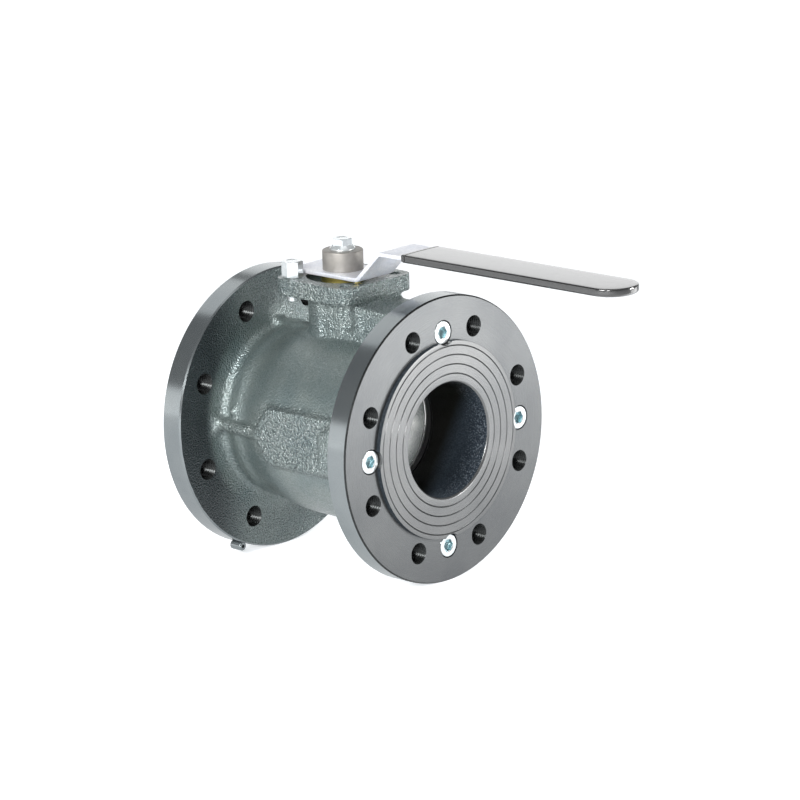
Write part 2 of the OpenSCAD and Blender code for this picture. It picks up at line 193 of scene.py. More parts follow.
def apply_modifiers(obj):
    graph = bpy.context.evaluated_depsgraph_get()
    mesh = bpy.data.meshes.new_from_object(obj.evaluated_get(graph))
    obj.modifiers.clear()
    old = obj.data
    obj.data = mesh
    bpy.data.meshes.remove(old)
    return obj


def combine(obj, tools, operation):
    """Boolean of obj with each tool in turn; the tools are used up."""
    for tool in tools:
        mod = obj.modifiers.new("combine", "BOOLEAN")
        mod.solver = "MANIFOLD"
        mod.operation = operation
        mod.object = tool
        apply_modifiers(obj)
        mesh = tool.data
        bpy.data.objects.remove(tool)
        bpy.data.meshes.remove(mesh)
    return obj


def voxel_remesh(obj, size):
    mod = obj.modifiers.new("remesh", "REMESH")
    mod.mode = "VOXEL"
    mod.voxel_size = size
    return apply_modifiers(obj)


def coordinates(mesh):
    co = np.empty(len(mesh.vertices) * 3)
    mesh.vertices.foreach_get("co", co)
    return co.reshape(-1, 3)


def soften(obj, rounds, strength, weight):
    """Moves each vertex toward the mean of its neighbours; weight(points) scales each move."""
    mesh = obj.data
    co = coordinates(mesh)
    ends = np.empty(len(mesh.edges) * 2, dtype=np.int64)
    mesh.edges.foreach_get("vertices", ends)
    ends = ends.reshape(-1, 2)
    count = np.bincount(ends.ravel(), minlength=len(co))[:, None]
    share = strength * weight(co)[:, None]
    for _ in range(rounds):
        total = np.zeros_like(co)
        np.add.at(total, ends[:, 0], co[ends[:, 1]])
        np.add.at(total, ends[:, 1], co[ends[:, 0]])
        co += share * (total / count - co)
    mesh.vertices.foreach_set("co", co.ravel())
    mesh.update()


def roughen(obj, wavelength, amplitude, weight=None):
    """Moves vertices along their normals by noise; weight(points) scales each move."""
    mesh = obj.data
    factors = np.ones(len(mesh.vertices)) if weight is None else weight(coordinates(mesh))
    normals = [v.normal.copy() for v in mesh.vertices]
    for vert, normal, factor in zip(mesh.vertices, normals, factors):
        if factor > 0.01:
            push = amplitude * noise.noise(vert.co / wavelength)
            vert.co += normal * push * factor
    mesh.update()


def grade(obj, rule, name):
    """Stores rule(points), a number from 0 to 1 at each vertex, for a material to read."""
    layer = obj.data.attributes.new(name, "FLOAT", "POINT")
    layer.data.foreach_set("value", rule(coordinates(obj.data)))


def step(value, low, high):
    """Smooth step from 0 at low to 1 at high, for arrays."""
    t = np.clip((value - low) / (high - low), 0, 1)
    return t * t * (3 - 2 * t)


def shade(obj, angle=30):
    """Smooth shading, with edges sharper than angle (degrees) kept sharp."""
    mesh = obj.data
    mesh.polygons.foreach_set("use_smooth", [True] * len(mesh.polygons))
    mesh.set_sharp_from_angle(angle=math.radians(angle))
    mesh.update()


def paint(obj, *materials, pick=None):
    """Gives each face the material that pick(centre, normal) returns, or the first one."""
    mesh = obj.data
    mesh.materials.clear()
    for material in materials:
        mesh.materials.append(material)
    for face in mesh.polygons:
        chosen = pick(face.center, face.normal) if pick else materials[0]
        face.material_index = materials.index(chosen)
    mesh.update()


def place(obj, body, stands_for):
    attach(obj, body)
    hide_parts(stands_for)


# ---------------------------------------------------------------- materials


class Surface:
    """A Principled material with helpers for the procedural nodes that feed it."""

    def __init__(self, name, **values):
        self.material = bpy.data.materials.new(name)
        self.material.use_nodes = True
        self.tree = self.material.node_tree
        self.shader = self.tree.nodes["Principled BSDF"]
        for socket, value in values.items():
            self.shader.inputs[socket.replace("_", " ")].default_value = value
        self.height = None
        self.where = self.add("ShaderNodeTexCoord").outputs["Object"]

    def add(self, kind, **values):
        node = self.tree.nodes.new(kind)
        for key, value in values.items():
            setattr(node, key, value)
        return node

    def join(self, source, target):
        self.tree.links.new(source, target)

    def noise(self, size, detail=3.0, rough=0.5):
        """Noise whose features are about size metres across."""
        node = self.add("ShaderNodeTexNoise")
        node.inputs["Scale"].default_value = 1 / size
        node.inputs["Detail"].default_value = detail
        node.inputs["Roughness"].default_value = rough
        self.join(self.where, node.inputs["Vector"])
        return node.outputs["Fac"]

    def stored(self, name):
        """A value that grade() stored on the mesh."""
        return self.add("ShaderNodeAttribute", attribute_name=name).outputs["Fac"]

    def rings(self, size, axis):
        """Turning marks about the flow axis (x) or the stem axis (z).

        They are fine bands that depend only on the distance from the axis and along it.
        """
        split = self.add("ShaderNodeSeparateXYZ")
        self.join(self.where, split.inputs[0])
        along, others, centre = {"x": ("X", "YZ", (0, 0)), "z": ("Z", "XY", (stem_x, 0))}[axis]
        squares = []
        for name, mid in zip(others, centre):
            shifted = self.math("SUBTRACT", split.outputs[name], mid)
            squares.append(self.math("MULTIPLY", shifted, shifted))
        radius = self.math("SQRT", self.math("ADD", squares[0], squares[1]))
        line = self.math("ADD", radius, split.outputs[along])
        joined = self.add("ShaderNodeCombineXYZ")
        self.join(line, joined.inputs["X"])
        node = self.add("ShaderNodeTexNoise")
        node.inputs["Scale"].default_value = 1 / size
        node.inputs["Detail"].default_value = 4
        node.inputs["Roughness"].default_value = 0.7
        self.join(joined.outputs[0], node.inputs["Vector"])
        return node.outputs["Fac"]

    def across(self, origin, direction):
        """Metres past origin along direction, times the length of direction."""
        centred = self.add("ShaderNodeVectorMath", operation="SUBTRACT")
        self.join(self.where, centred.inputs[0])
        centred.inputs[1].default_value = origin
        along = self.add("ShaderNodeVectorMath", operation="DOT_PRODUCT")
        self.join(centred.outputs["Vector"], along.inputs[0])
        along.inputs[1].default_value = direction
        return along.outputs["Value"]

    def math(self, operation, a, b=None):
        node = self.add("ShaderNodeMath", operation=operation)
        for socket, value in zip(node.inputs, (a, b)):
            if value is None:
                continue
            if isinstance(value, (int, float)):
                socket.default_value = value
            else:
                self.join(value, socket)
        return node.outputs[0]

    def ramp(self, source, stops):
        """Colour ramp; stops are (position, colour)."""
        node = self.add("ShaderNodeValToRGB")
        ramp = node.color_ramp
        while len(ramp.elements) < len(stops):
            ramp.elements.new(0.5)
        for element, (position, colour) in zip(ramp.elements, stops):
            element.position = position
            element.color = (*colour, 1)
        self.join(source, node.inputs["Fac"])
        return node.outputs["Color"]

    def span(self, source, low, high, from_low=0.25, from_high=0.75):
        """Maps from_low..from_high, at first the useful part of a noise, to low..high."""
        node = self.add("ShaderNodeMapRange")
        node.inputs["From Min"].default_value = from_low
        node.inputs["From Max"].default_value = from_high
        node.inputs["To Min"].default_value = low
        node.inputs["To Max"].default_value = high
        self.join(source, node.inputs["Value"])
        return node.outputs["Result"]

    def mix(self, factor, a, b):
        """Colour from a to b as factor goes from 0 to 1."""
        node = self.add("ShaderNodeMix", data_type="RGBA")
        for socket, value in ((node.inputs[0], factor), (node.inputs[6], a), (node.inputs[7], b)):
            if isinstance(value, tuple):
                socket.default_value = (*value, 1)
            else:
                self.join(value, socket)
        return node.outputs[2]

    def colour(self, source):
        self.join(source, self.shader.inputs["Base Color"])

    def roughness(self, source):
        self.join(source, self.shader.inputs["Roughness"])

    def bump(self, source, depth, strength=1.0):
        """Adds a bump layer of the given depth in metres on top of the earlier ones."""
        node = self.add("ShaderNodeBump")
        node.inputs["Distance"].default_value = depth
        if isinstance(strength, (int, float)):
            node.inputs["Strength"].default_value = strength
        else:
            self.join(strength, node.inputs["Strength"])
        self.join(source, node.inputs["Height"])
        if self.height is not None:
            self.join(self.height, node.inputs["Normal"])
        self.height = node.outputs["Normal"]
        self.join(self.height, self.shader.inputs["Normal"])

    def coat_follows(self):
        """The clear coat takes the bumps too, instead of lying flat over them."""
        self.join(self.height, self.shader.inputs["Coat Normal"])


def cast_paint():
    """Grey-green paint over sand-cast iron.

    On the mesh, "grain" says how coarse the skin is, and a second stored value where the flanges' inner faces are
    darkened by painted shade.
    """
    s = Surface("cast_paint", Metallic=0.6, Specular_IOR_Level=0.6,
                Coat_Weight=0.6, Coat_Roughness=0.16, Coat_IOR=1.55)
    grain = s.stored("grain")
    broad = s.noise(26 * MM, 3)
    fine = s.noise(1.25 * MM, 1, 0.4)
    base = s.ramp(broad, [(0.3, (0.136, 0.180, 0.182)), (0.7, (0.198, 0.238, 0.228))])
    # Painted shade in the hollows of the grain, and painted sparkle on its raised spots
    painted_pit_shade = s.math("MULTIPLY", s.span(fine, 0.7, 0.0, 0.34, 0.50), grain)
    painted_grain_sparkle = s.math("MULTIPLY", s.span(fine, 0.0, 0.7, 0.54, 0.70), grain)
    base = s.mix(painted_pit_shade, base, (0.046, 0.061, 0.063))
    base = s.mix(painted_grain_sparkle, base, (0.33, 0.36, 0.35))
    # Painted shade: the flanges' inner faces go near-black by the stored shade value
    s.colour(s.mix(s.stored("flange_shade"), base, (0.020, 0.029, 0.033)))
    s.roughness(s.span(fine, 0.44, 0.26))
    s.bump(s.noise(7 * MM, 2), 0.25 * MM, 0.4)
    s.bump(fine, 1.7 * MM, grain)
    s.coat_follows()
    return s.material


def bore_paint():
    """Blue-black paint in the bore, with a painted shadow: past a slanted plane the wall is near-black.

    The lit part reaches deepest on the far side of the bore, so the painted shadow's edge is a slanted plane.
    Beside the mouth the skin is coarser, and lighter specks there are painted highlights.
    """
    s = Surface("bore_paint", Metallic=0.0, Specular_IOR_Level=0.12)
    fine = s.noise(1.1 * MM, 1, 0.4)
    # Painted shadow: 0 deep in the bore, where the mouth's edge would shade the wall, 1 nearer the mouth
    painted_lit_side = s.span(s.across((raised_x, 0, 0), (1, 0.75, -0.50)), 0, 1, -7 * MM, 7 * MM)
    mouth = s.span(s.across((raised_x, 0, 0), (1, 0, 0)), 0, 1, -22 * MM, -8 * MM)
    paint = s.ramp(fine, [(0.35, (0.018, 0.025, 0.034)), (0.65, (0.036, 0.048, 0.062))])
    base = s.mix(painted_lit_side, (0.004, 0.004, 0.003), paint)
    # Painted highlights: lighter specks beside the mouth
    painted_glints = s.math("MULTIPLY", mouth, s.span(fine, 0, 0.6, 0.54, 0.68))
    s.colour(s.mix(painted_glints, base, (0.20, 0.23, 0.26)))
    s.roughness(s.span(fine, 0.45, 0.3))
    s.bump(fine, 1.2 * MM, s.math("ADD", s.math("MULTIPLY", mouth, 0.7), 0.15))
    return s.material


def step_wall_dark():
    """Dark colour on the narrow wall of the raised face."""
    s = Surface("step_wall_dark", Metallic=0.0, Specular_IOR_Level=0.12)
    fine = s.noise(1.6 * MM, 2, 0.5)
    s.colour(s.ramp(fine, [(0.35, (0.014, 0.019, 0.024)), (0.7, (0.040, 0.048, 0.056))]))
    s.roughness(s.span(fine, 0.3, 0.45))
    return s.material


def turned_face(name, low, high, mark):
    """Turned grey iron with fine concentric tool marks."""
    s = Surface(name, Metallic=0.85, Specular_IOR_Level=0.5)
    broad = s.noise(38 * MM, 4)
    rings = s.rings(0.35 * MM, "x")
    base = s.ramp(broad, [(0.25, low), (0.75, high)])
    s.colour(s.mix(s.span(rings, 0.0, 0.15), base, mark))
    s.roughness(s.span(rings, 0.24, 0.31))
    s.bump(rings, 0.010 * MM, 0.5)
    s.bump(s.noise(12 * MM, 2), 0.03 * MM, 0.3)
    return s.material


def turned_rim():
    """Turned rim of a flange, smoother and bluer than the faces."""
    s = Surface("turned_rim", Metallic=0.9, Specular_IOR_Level=0.5)
    broad = s.noise(30 * MM, 4)
    rings = s.rings(0.45 * MM, "x")
    base = s.ramp(broad, [(0.25, (0.225, 0.25, 0.262)), (0.75, (0.29, 0.315, 0.32))])
    s.colour(s.mix(s.span(rings, 0.0, 0.2), base, (0.36, 0.38, 0.385)))
    s.roughness(s.span(rings, 0.15, 0.22))
    s.bump(rings, 0.005 * MM, 0.5)
    return s.material


def thread_dark_shade():
    """Near-black iron in the tapped holes and on the front chamfer: painted shade in the holes, a painted dark
    reflection on the chamfer.
    """
    s = Surface("thread_dark_shade", Metallic=0.7, Specular_IOR_Level=0.5)
    fine = s.noise(0.9 * MM, 3)
    s.colour(s.ramp(fine, [(0.3, (0.016, 0.018, 0.018)), (0.7, (0.045, 0.048, 0.048))]))
    s.roughness(s.span(fine, 0.22, 0.34))
    return s.material


def zinc(name, tint, shift, gloss, grain, metal=1.0):
    """Bright zinc plating whose colour drifts from tint to shift.

    gloss is its span of roughness, and grain the depth of its bumps.
    """
    s = Surface(name, Metallic=metal)
    cloud = s.noise(14 * MM, 3)
    fine = s.noise(1.6 * MM, 3, 0.6)
    base = s.ramp(cloud, [(0.3, tint), (0.7, shift)])
    s.colour(s.mix(s.span(fine, 0.0, 0.45), base, (0.50, 0.54, 0.60)))
    s.roughness(s.span(fine, *gloss))
    s.bump(fine, grain, 0.6)
    return s.material


def turned_stainless():
    """Stainless steel with turning marks about the stem axis, half dull."""
    s = Surface("turned_stainless", Metallic=0.6)
    rings = s.rings(0.25 * MM, "z")
    cloud = s.noise(7 * MM, 3)
    base = s.ramp(cloud, [(0.3, (0.25, 0.235, 0.215)), (0.7, (0.32, 0.305, 0.285))])
    s.colour(s.mix(s.span(rings, 0.0, 0.4), base, (0.40, 0.38, 0.355)))
    s.roughness(s.span(rings, 0.44, 0.54))
    s.bump(rings, 0.015 * MM, 0.6)
    return s.material


def polished_ball():
    s = Surface("polished_ball", Metallic=1.0)
    fine = s.noise(2.5 * MM, 4)
    s.colour(s.ramp(fine, [(0.3, (0.86, 0.86, 0.85)), (0.7, (0.93, 0.93, 0.92))]))
    s.roughness(s.span(s.rings(0.5 * MM, "x"), 0.15, 0.23))
    return s.material


def ptfe():
    """Carbon-filled PTFE, dark grey and smooth."""
    s = Surface("ptfe")
    fine = s.noise(1.2 * MM, 3)
    s.colour(s.ramp(fine, [(0.3, (0.020, 0.021, 0.022)), (0.7, (0.036, 0.037, 0.038))]))
    s.roughness(s.span(fine, 0.42, 0.56))
    return s.material


def rubber():
    s = Surface("rubber")
    fine = s.noise(0.8 * MM, 3)
    s.colour(s.ramp(fine, [(0.3, (0.012, 0.012, 0.012)), (0.7, (0.028, 0.028, 0.028))]))
    s.roughness(s.span(fine, 0.5, 0.7))
    s.bump(fine, 0.03 * MM, 0.4)
    return s.material


def brass():
    s = Surface("brass", Metallic=1.0)
    rings = s.rings(0.3 * MM, "z")
    s.colour(s.ramp(rings, [(0.3, (0.60, 0.47, 0.12)), (0.7, (0.74, 0.62, 0.20))]))
    s.roughness(s.span(rings, 0.22, 0.36))
    s.bump(rings, 0.012 * MM, 0.5)
    return s.material


def vinyl():
    s = Surface("vinyl", Specular_IOR_Level=0.7, Coat_Weight=1.0, Coat_Roughness=0.08, Coat_IOR=1.6)
    fine = s.noise(3 * MM, 3)
    s.colour(s.ramp(fine, [(0.3, (0.010, 0.010, 0.010)), (0.7, (0.018, 0.018, 0.018))]))
    s.roughness(s.span(fine, 0.16, 0.26))
    s.bump(s.noise(14 * MM, 2), 0.08 * MM, 0.2)
    s.bump(s.noise(1.4 * MM, 2), 0.012 * MM, 0.25)
    return s.material


PAINT = cast_paint()
BORE = bore_paint()
FACE = turned_face(
    "turned_face", (0.115, 0.119, 0.123), (0.150, 0.154, 0.155), (0.21, 0.22, 0.22))
INSERT_FACE = turned_face(
    "turned_insert", (0.148, 0.151, 0.153), (0.190, 0.192, 0.191), (0.26, 0.26, 0.26))
# Darker turned tone for the gasket grooves: painted shade in the grooves
GROOVE = turned_face(
    "turned_groove_shaded", (0.10, 0.104, 0.106), (0.14, 0.142, 0.142), (0.18, 0.18, 0.18))
STEP = step_wall_dark()
RIM = turned_rim()
THREAD = thread_dark_shade()
ZINC = zinc(
    "zinc_bolts", (0.74, 0.79, 0.79), (0.88, 0.90, 0.89), (0.10, 0.22), 0.04 * MM, 0.7)
ZINC_LEVER = zinc(
    "zinc_lever", (0.80, 0.82, 0.89), (0.92, 0.91, 0.93), (0.28, 0.44), 0.30 * MM, 0.5)
SOCKET = zinc(
    "zinc_socket", (0.46, 0.64, 0.67), (0.66, 0.80, 0.80), (0.16, 0.3), 0.03 * MM)
STAINLESS = turned_stainless()
BALL = polished_ball()
PTFE = ptfe()
RUBBER = rubber()
BRASS = brass()
VINYL = vinyl()

# ---------------------------------------------------------------- casting


def threaded_rod(name, centre_yz, x0, x1, steps=32):
    """Solid rod along X with a helical M16 thread, as a cutter for a tapped hole."""
    pitch, depth = 2 * MM, 0.95 * MM
    outline = [0.0, 0.35, 1.0, 0.65]  # height of the ridge at each quarter of the pitch
    per_turn = len(outline)
    count = round((x1 - x0) / pitch * per_turn)
    verts, faces = [], []
    for i in range(count + 1):
        x = x0 + (x1 - x0) * i / count
        for k in range(steps):
            angle = 2 * math.pi * k / steps
            phase = ((x - x0) / pitch - k / steps) % 1.0 * per_turn
            j = int(phase)
            low, high = outline[j % per_turn], outline[(j + 1) % per_turn]
            radius = tap_core_r + depth * (low + (high - low) * (phase - j))
            verts.append((x, centre_yz[0] + radius * math.cos(angle),
                          centre_yz[1] + radius * math.sin(angle)))
    for i in range(count):
        for k in range(steps):
            a, b = i * steps + k, i * steps + (k + 1) % steps
            faces.append((a, b, b + steps, a + steps))
    faces.append(tuple(range(steps)))
    faces.append(tuple(range(count * steps, (count + 1) * steps)))
    return from_faces(name, verts, faces)


def rod_x(name, centre_yz, radius, x0, x1, steps=48):
    return lathe(name, [(x0, 0), (x0, radius), (x1, radius), (x1, 0)],
                 centre=(0, *centre_yz), steps=steps)


def around(count, radius, offset=0.0):
    """(y, z) places on a circle about the flow axis."""
    for i in range(count):
        angle = 2 * math.pi * (i + offset) / count
        yield radius * math.sin(angle), radius * math.cos(angle)


def groove_points(x, inward):
    """Outline points of the gasket grooves in a face at x; inward is 1 or -1 along X."""
    points = []
    for r in groove_radii:
        points += [(x, r - groove_half), (x + inward * groove_depth, r), (x, r + groove_half)]
    return points


def barrel_outline(body):
    """Outside radius of the casting along X, measured on the CAD body between its ribs."""
    bm = bmesh.new()
    bm.from_mesh(body.data)
    tree = BVHTree.FromBMesh(bm)
    bm.free()
    out = Vector((0, -1, -1)).normalized()
    inset = 0.05 * MM
    x0, x1 = rear_back_x + 0.5 * MM, front_back_x - 0.2 * MM
    outline = []
    for x in np.linspace(x0, x1, 120):
        hit = tree.ray_cast(Vector((x, 0, 0)) + out * 0.2, -out)[0]
        outline.append((x, math.hypot(hit.y, hit.z) - inset))
    return outline


def raw_casting():
    """The casting before machining: the CAD body with filled holes and thicker ends."""
    raw = link("body_casting", nodes["body"].data.copy())
    bm = bmesh.new()
    bm.from_mesh(raw.data)
    bmesh.ops.remove_doubles(bm, verts=bm.verts, dist=1e-6)
    bm.to_mesh(raw.data)
    bm.free()
    spare = 4 * MM
    big_r = flange_r + spare
    outline = barrel_outline(nodes["body"])
    core = lathe("core", [(outline[0][0], 0)] + outline + [(outline[-1][0], 0)], steps=96)
    rear = lathe("rear", [(-spare, 0), (-spare, big_r), (rear_back_x, big_r), (rear_back_x, 0)])
    front = lathe("front", [(front_back_x, 0), (front_back_x, big_r),
                            (raised_x + spare, big_r), (raised_x + spare, 0)])
    neck = lathe("neck", [(50 * MM, 0), (50 * MM, 24 * MM), (92 * MM, 24 * MM), (92 * MM, 0)],
                 "z", (stem_x, 0, 0), 64)
    plan = rounded([(sx * pad_half, sy * pad_half, pad_corner)
                    for sx, sy in ((1, 1), (-1, 1), (-1, -1), (1, -1))], 6)
    n = len(plan)
    pad = from_faces(
        "pad", [(stem_x + x, y, z) for z in (pad_underside, pad_top + spare) for x, y in plan],
        [tuple(range(n)), tuple(range(n, 2 * n))]
        + [(i, (i + 1) % n, (i + 1) % n + n, i + n) for i in range(n)])
    # small flash mark on the shoulder ring beside the left boss
    flash = lathe("flash", [(-3 * MM, 0), (-2 * MM, 2 * MM), (0, 3 * MM), (2 * MM, 2 * MM),
                            (3 * MM, 0)], centre=(32.5 * MM, -61.4 * MM, 10.6 * MM), steps=16)
    return combine(raw, [core, rear, front, neck, pad, flash], "UNION")


def casting_softness(co):
    """Less smoothing on the pad and the neck, so that their edges stay crisp."""
    x, z = co[:, 0], co[:, 2]
    near_pad = (z > 88 * MM) & (np.abs(x - stem_x) < 37 * MM)
    neck = step(z, 58 * MM, 66 * MM) * step(x, 50 * MM, 58 * MM)
    return np.where(near_pad, 0.3, 1.0 - 0.75 * neck)


def skin(co):
    """How coarse the cast skin is: fine on the barrel, middling on the flanges, else coarse."""
    x, y, z = co[:, 0], np.abs(co[:, 1]), co[:, 2]
    radius = np.hypot(y, z)
    barrel = 1 - step(radius, 71 * MM, 76 * MM)
    shoulder = 1 - step(x, 24 * MM, 34 * MM)
    boss = step(y, 60 * MM, 66 * MM) * (1 - step(np.abs(z), 21 * MM, 25 * MM)) * (1 - shoulder)
    neck = step(z, 60 * MM, 68 * MM) * step(x, 50 * MM, 60 * MM)
    flange = 0.6 * (1 - barrel) * (1 - step(z, 84 * MM, 90 * MM) * step(x, 50 * MM, 60 * MM))
    smooth = barrel * (1 - boss) * (1 - 0.5 * neck)
    return 1 - smooth * (0.66 - 0.26 * shoulder) - 0.35 * flange


def painted_flange_shade(co):
    """How much painted shade darkens the paint: up to 1 on the sides of the flanges' inner faces, 0 elsewhere."""
    x, y, z = co[:, 0], co[:, 1], co[:, 2]
    rear = 1 - step(x, rear_back_x + 0.5 * MM, rear_back_x + 4 * MM)
    front = step(x, front_back_x - 4 * MM, front_back_x - 0.5 * MM)
    ring = step(np.hypot(y, z), 66 * MM, 76 * MM)
    return np.maximum(rear, front) * ring * (0.15 + 0.85 * step(abs(y), 30 * MM, 70 * MM))


def machined_envelope():
    """Everything inside the turned faces and rims; between the flanges it lets all of it pass."""
    far = 130 * MM
    slack = 0.6 * MM  # by which the flanges' cast inner faces may stand proud
    return lathe("envelope", [(0, 0)] + groove_points(0, 1) + [
        (0, raised_r - 0.3 * MM), (0.3 * MM, raised_r),
        (rear_face_x, raised_r), (rear_face_x, flange_r - rim_chamfer),
        (rear_face_x + rim_chamfer, flange_r), (rear_back_x - rim_chamfer, flange_r),
        (rear_back_x + slack, flange_r - rim_chamfer - slack), (rear_back_x + slack, far),
        (front_back_x - slack, far), (front_back_x - slack, flange_r - rim_chamfer - slack),
        (front_back_x + rim_chamfer, flange_r), (front_face_x - rim_chamfer, flange_r),
        (front_face_x, flange_r - rim_chamfer), (front_face_x, 0)], steps=256)


def flow_passage():
    """Port, seat pocket, room for the ball and room for the insert, along X."""
    out = 5 * MM  # past the faces
    insert_room = raised_r + 0.05 * MM
    angles = [math.radians(a) for a in range(120, 89, -6)]
    return lathe("passage", [
        (-out, 0), (-out, port_r + 5 * MM), (0.8 * MM, port_r),
        (stem_x - pocket_off, port_r), (stem_x - pocket_off, pocket_r)]
        + [(stem_x + cavity_r * math.cos(a), cavity_r * math.sin(a)) for a in angles]
        + [(insert_floor_x, cavity_r), (insert_floor_x, insert_room),
           (front_face_x + out, insert_room), (front_face_x + out, 0)], steps=128)


def stem_bore():
    """Stepped bore along Z: shoulder of the stem, bearing, gland and the pad's recess."""
    shoulder_r, bearing_r, gland_r = 15.6 * MM, 13 * MM, 15.55 * MM
    chamfer, out = 0.3 * MM, 4 * MM
    return lathe("stem_bore", [
        (45 * MM, 0), (45 * MM, shoulder_r), (65 * MM, shoulder_r), (65 * MM, bearing_r),
        (96 * MM, bearing_r), (96 * MM, gland_r), (100 * MM, gland_r), (100 * MM, recess_r),
        (pad_top - chamfer, recess_r), (pad_top + out, recess_r + out), (pad_top + out, 0)],
        "z", (stem_x, 0, 0), 96)


def pad_hole(sx, sy):
    """Hole in one corner of the pad, with a countersunk mouth; one corner takes the stop screw."""
    r = stop_hole_r if (sx, sy) == (-1, -1) else pad_hole_r
    sink, out = 0.4 * MM, 3 * MM
    return lathe("pad_hole", [
        (82 * MM, 0), (82 * MM, r), (pad_top - sink, r), (pad_top + out, r + sink + out),
        (pad_top + out, 0)], "z", (stem_x + sx * pad_hole_off, sy * pad_hole_off, 0), 40)


def casting_material(c, n):
    """Material of the casting's face with centre c and normal n."""
    radius = math.hypot(c.y, c.z)
    at_flange = c.x < rear_back_x + 1 * MM or c.x > front_back_x - 1 * MM
    if radius < 58 * MM and rear_face_x < c.x < front_face_x:
        return BORE if c.x > stem_x else PAINT
    for y, z in around(bolt_count, bolt_circle_r, 0.5):
        tapped = c.x < rear_back_x + 1 * MM or c.x > front_back_x - 15 * MM
        if tapped and math.hypot(c.y - y, c.z - z) < tap_core_r + 1.05 * MM and abs(n.x) < 0.95:
            # Tapped holes take the near-black thread colour, a painted shade
            return THREAD
    if at_flange and radius > flange_r - 1.5 * MM and abs(n.x) < 0.97:
        # The front chamfer takes the near-black thread colour, a painted dark reflection
        return THREAD if c.x > front_face_x - rim_chamfer else RIM
    at_end = c.x < rear_face_x + 0.1 * MM or c.x > front_face_x - 0.1 * MM
    if abs(n.x) > 0.6 and at_end:
        return FACE
    if c.x < rear_face_x or c.x > front_back_x + 2 * MM and radius < flange_r - 2 * MM:
        return FACE
    return PAINT


def casting():
    body = raw_casting()
    voxel_remesh(body, 1.38 * MM)
    soften(body, 9, 0.5, casting_softness)
    roughen(body, 9 * MM, 0.14 * MM)
    roughen(body, 3.4 * MM, 0.13 * MM, skin)
    combine(body, [machined_envelope()], "INTERSECT")

    above_pad = box_solid("above_pad", (stem_x - 60 * MM, -80 * MM, pad_top),
                          (stem_x + 60 * MM, 80 * MM, 130 * MM))
    cutters = [above_pad, flow_passage(), stem_bore()]
    cutters += [pad_hole(sx, sy) for sx, sy in ((1, -1), (1, 1), (-1, 1), (-1, -1))]
    for c in around(4, screw_circle_r):
        cutters.append(rod_x("counterbore", c, counterbore_r, screw_seat_x, front_face_x + 5 * MM))
        cutters.append(
            rod_x("screw_hole", c, screw_hole_r, screw_hole_x, screw_seat_x + 1 * MM, 32))
    for c in around(bolt_count, bolt_circle_r, 0.5):
        cutters.append(threaded_rod("tap", c, rear_face_x - 1 * MM, rear_back_x + 3 * MM))
        cutters.append(threaded_rod("tap", c, front_back_x - 14 * MM, front_face_x + 1 * MM))
    combine(body, cutters, "DIFFERENCE")
    paint(body, PAINT, FACE, RIM, THREAD, BORE, pick=casting_material)
    grade(body, skin, "grain")
    # Stores the painted shade of the flanges' inner faces
    grade(body, painted_flange_shade, "flange_shade")
    shade(body, 32)
    place(body, HOUSING, "body")


# ---------------------------------------------------------------- flow parts


def insert_material(c, n):
    """Material of the insert's face with centre c and normal n."""
    radius = math.hypot(c.y, c.z)
    off_groove = min(abs(radius - r) for r in groove_radii)
    # The gasket grooves take the darker tone, a painted shade
    if c.x > raised_x - groove_depth and off_groove < groove_half:
        return GROOVE
    if radius > insert_r - 0.3 * MM and abs(n.x) < 0.97:
        return STEP
    in_bore = radius < port_r + 0.3 * MM and c.x < raised_x - 1.4 * MM
    return BORE if in_bore else INSERT_FACE


def end_insert():
    """Turned ring with the front seat's pocket, the front port and the raised face."""
    x0, edge = insert_x0, 0.2 * MM
    back_x = insert_floor_x + 0.02 * MM
    sleeve_r = 57.4 * MM
    seal_r, seal_x0, seal_x1 = 54 * MM, 152 * MM, 156.2 * MM  # groove of the insert's seal ring
    outline = rounded([
        (x0, pocket_r + 0.05 * MM), (stem_x + pocket_off, pocket_r + 0.05 * MM),
        (stem_x + pocket_off, port_r),
        (raised_x - 1.2 * MM, port_r, 0.8 * MM), (raised_x, port_r + 1.2 * MM, 0.5 * MM)]
        + groove_points(raised_x, -1) + [
        (raised_x, insert_r, edge), (back_x, insert_r), (back_x, sleeve_r),
        (seal_x1, sleeve_r), (seal_x1, seal_r), (seal_x0, seal_r), (seal_x0, sleeve_r),
        (x0 + 1 * MM, sleeve_r), (x0, sleeve_r - 1 * MM)], 3)
    piece = lathe("end_insert_turned", outline, steps=192)
    cutters = [rod_x("notch", c, counterbore_r, screw_seat_x, raised_x + 5 * MM)
               for c in around(4, screw_circle_r)]
    combine(piece, cutters, "DIFFERENCE")
    paint(piece, INSERT_FACE, BORE, STEP, GROOVE, pick=insert_material)
    shade(piece, 28)
    place(piece, HOUSING, "end_insert")


def ball():
    """Polished ball with its bore along X and the slot that the stem's tang turns it by."""
    edge = 1.2 * MM
    mouth = math.sqrt(ball_r ** 2 - port_r ** 2)
    start = math.degrees(math.asin(port_r / ball_r)) + 1.6  # leaves room for the rounded edge
    arc = [(ball_r * math.cos(math.radians(a)), ball_r * math.sin(math.radians(a)))
           for a in np.linspace(start, 180 - start, 64)]
    outline = rounded([(-mouth, port_r, edge), (mouth, port_r, edge)] + arc, 5)
    piece = lathe("ball_polished", outline, centre=(stem_x, 0, 0), steps=160)
    slot_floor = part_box("stem")[0].z - 0.2 * MM
    slot_half = 6.55 * MM
    slot = box_solid("slot", (stem_x - slot_half, -ball_r, slot_floor),
                     (stem_x + slot_half, ball_r, ball_r + 1 * MM))
    combine(piece, [slot], "DIFFERENCE")
    paint(piece, BALL)
    shade(piece, 30)
    place(piece, TURNING, "ball")


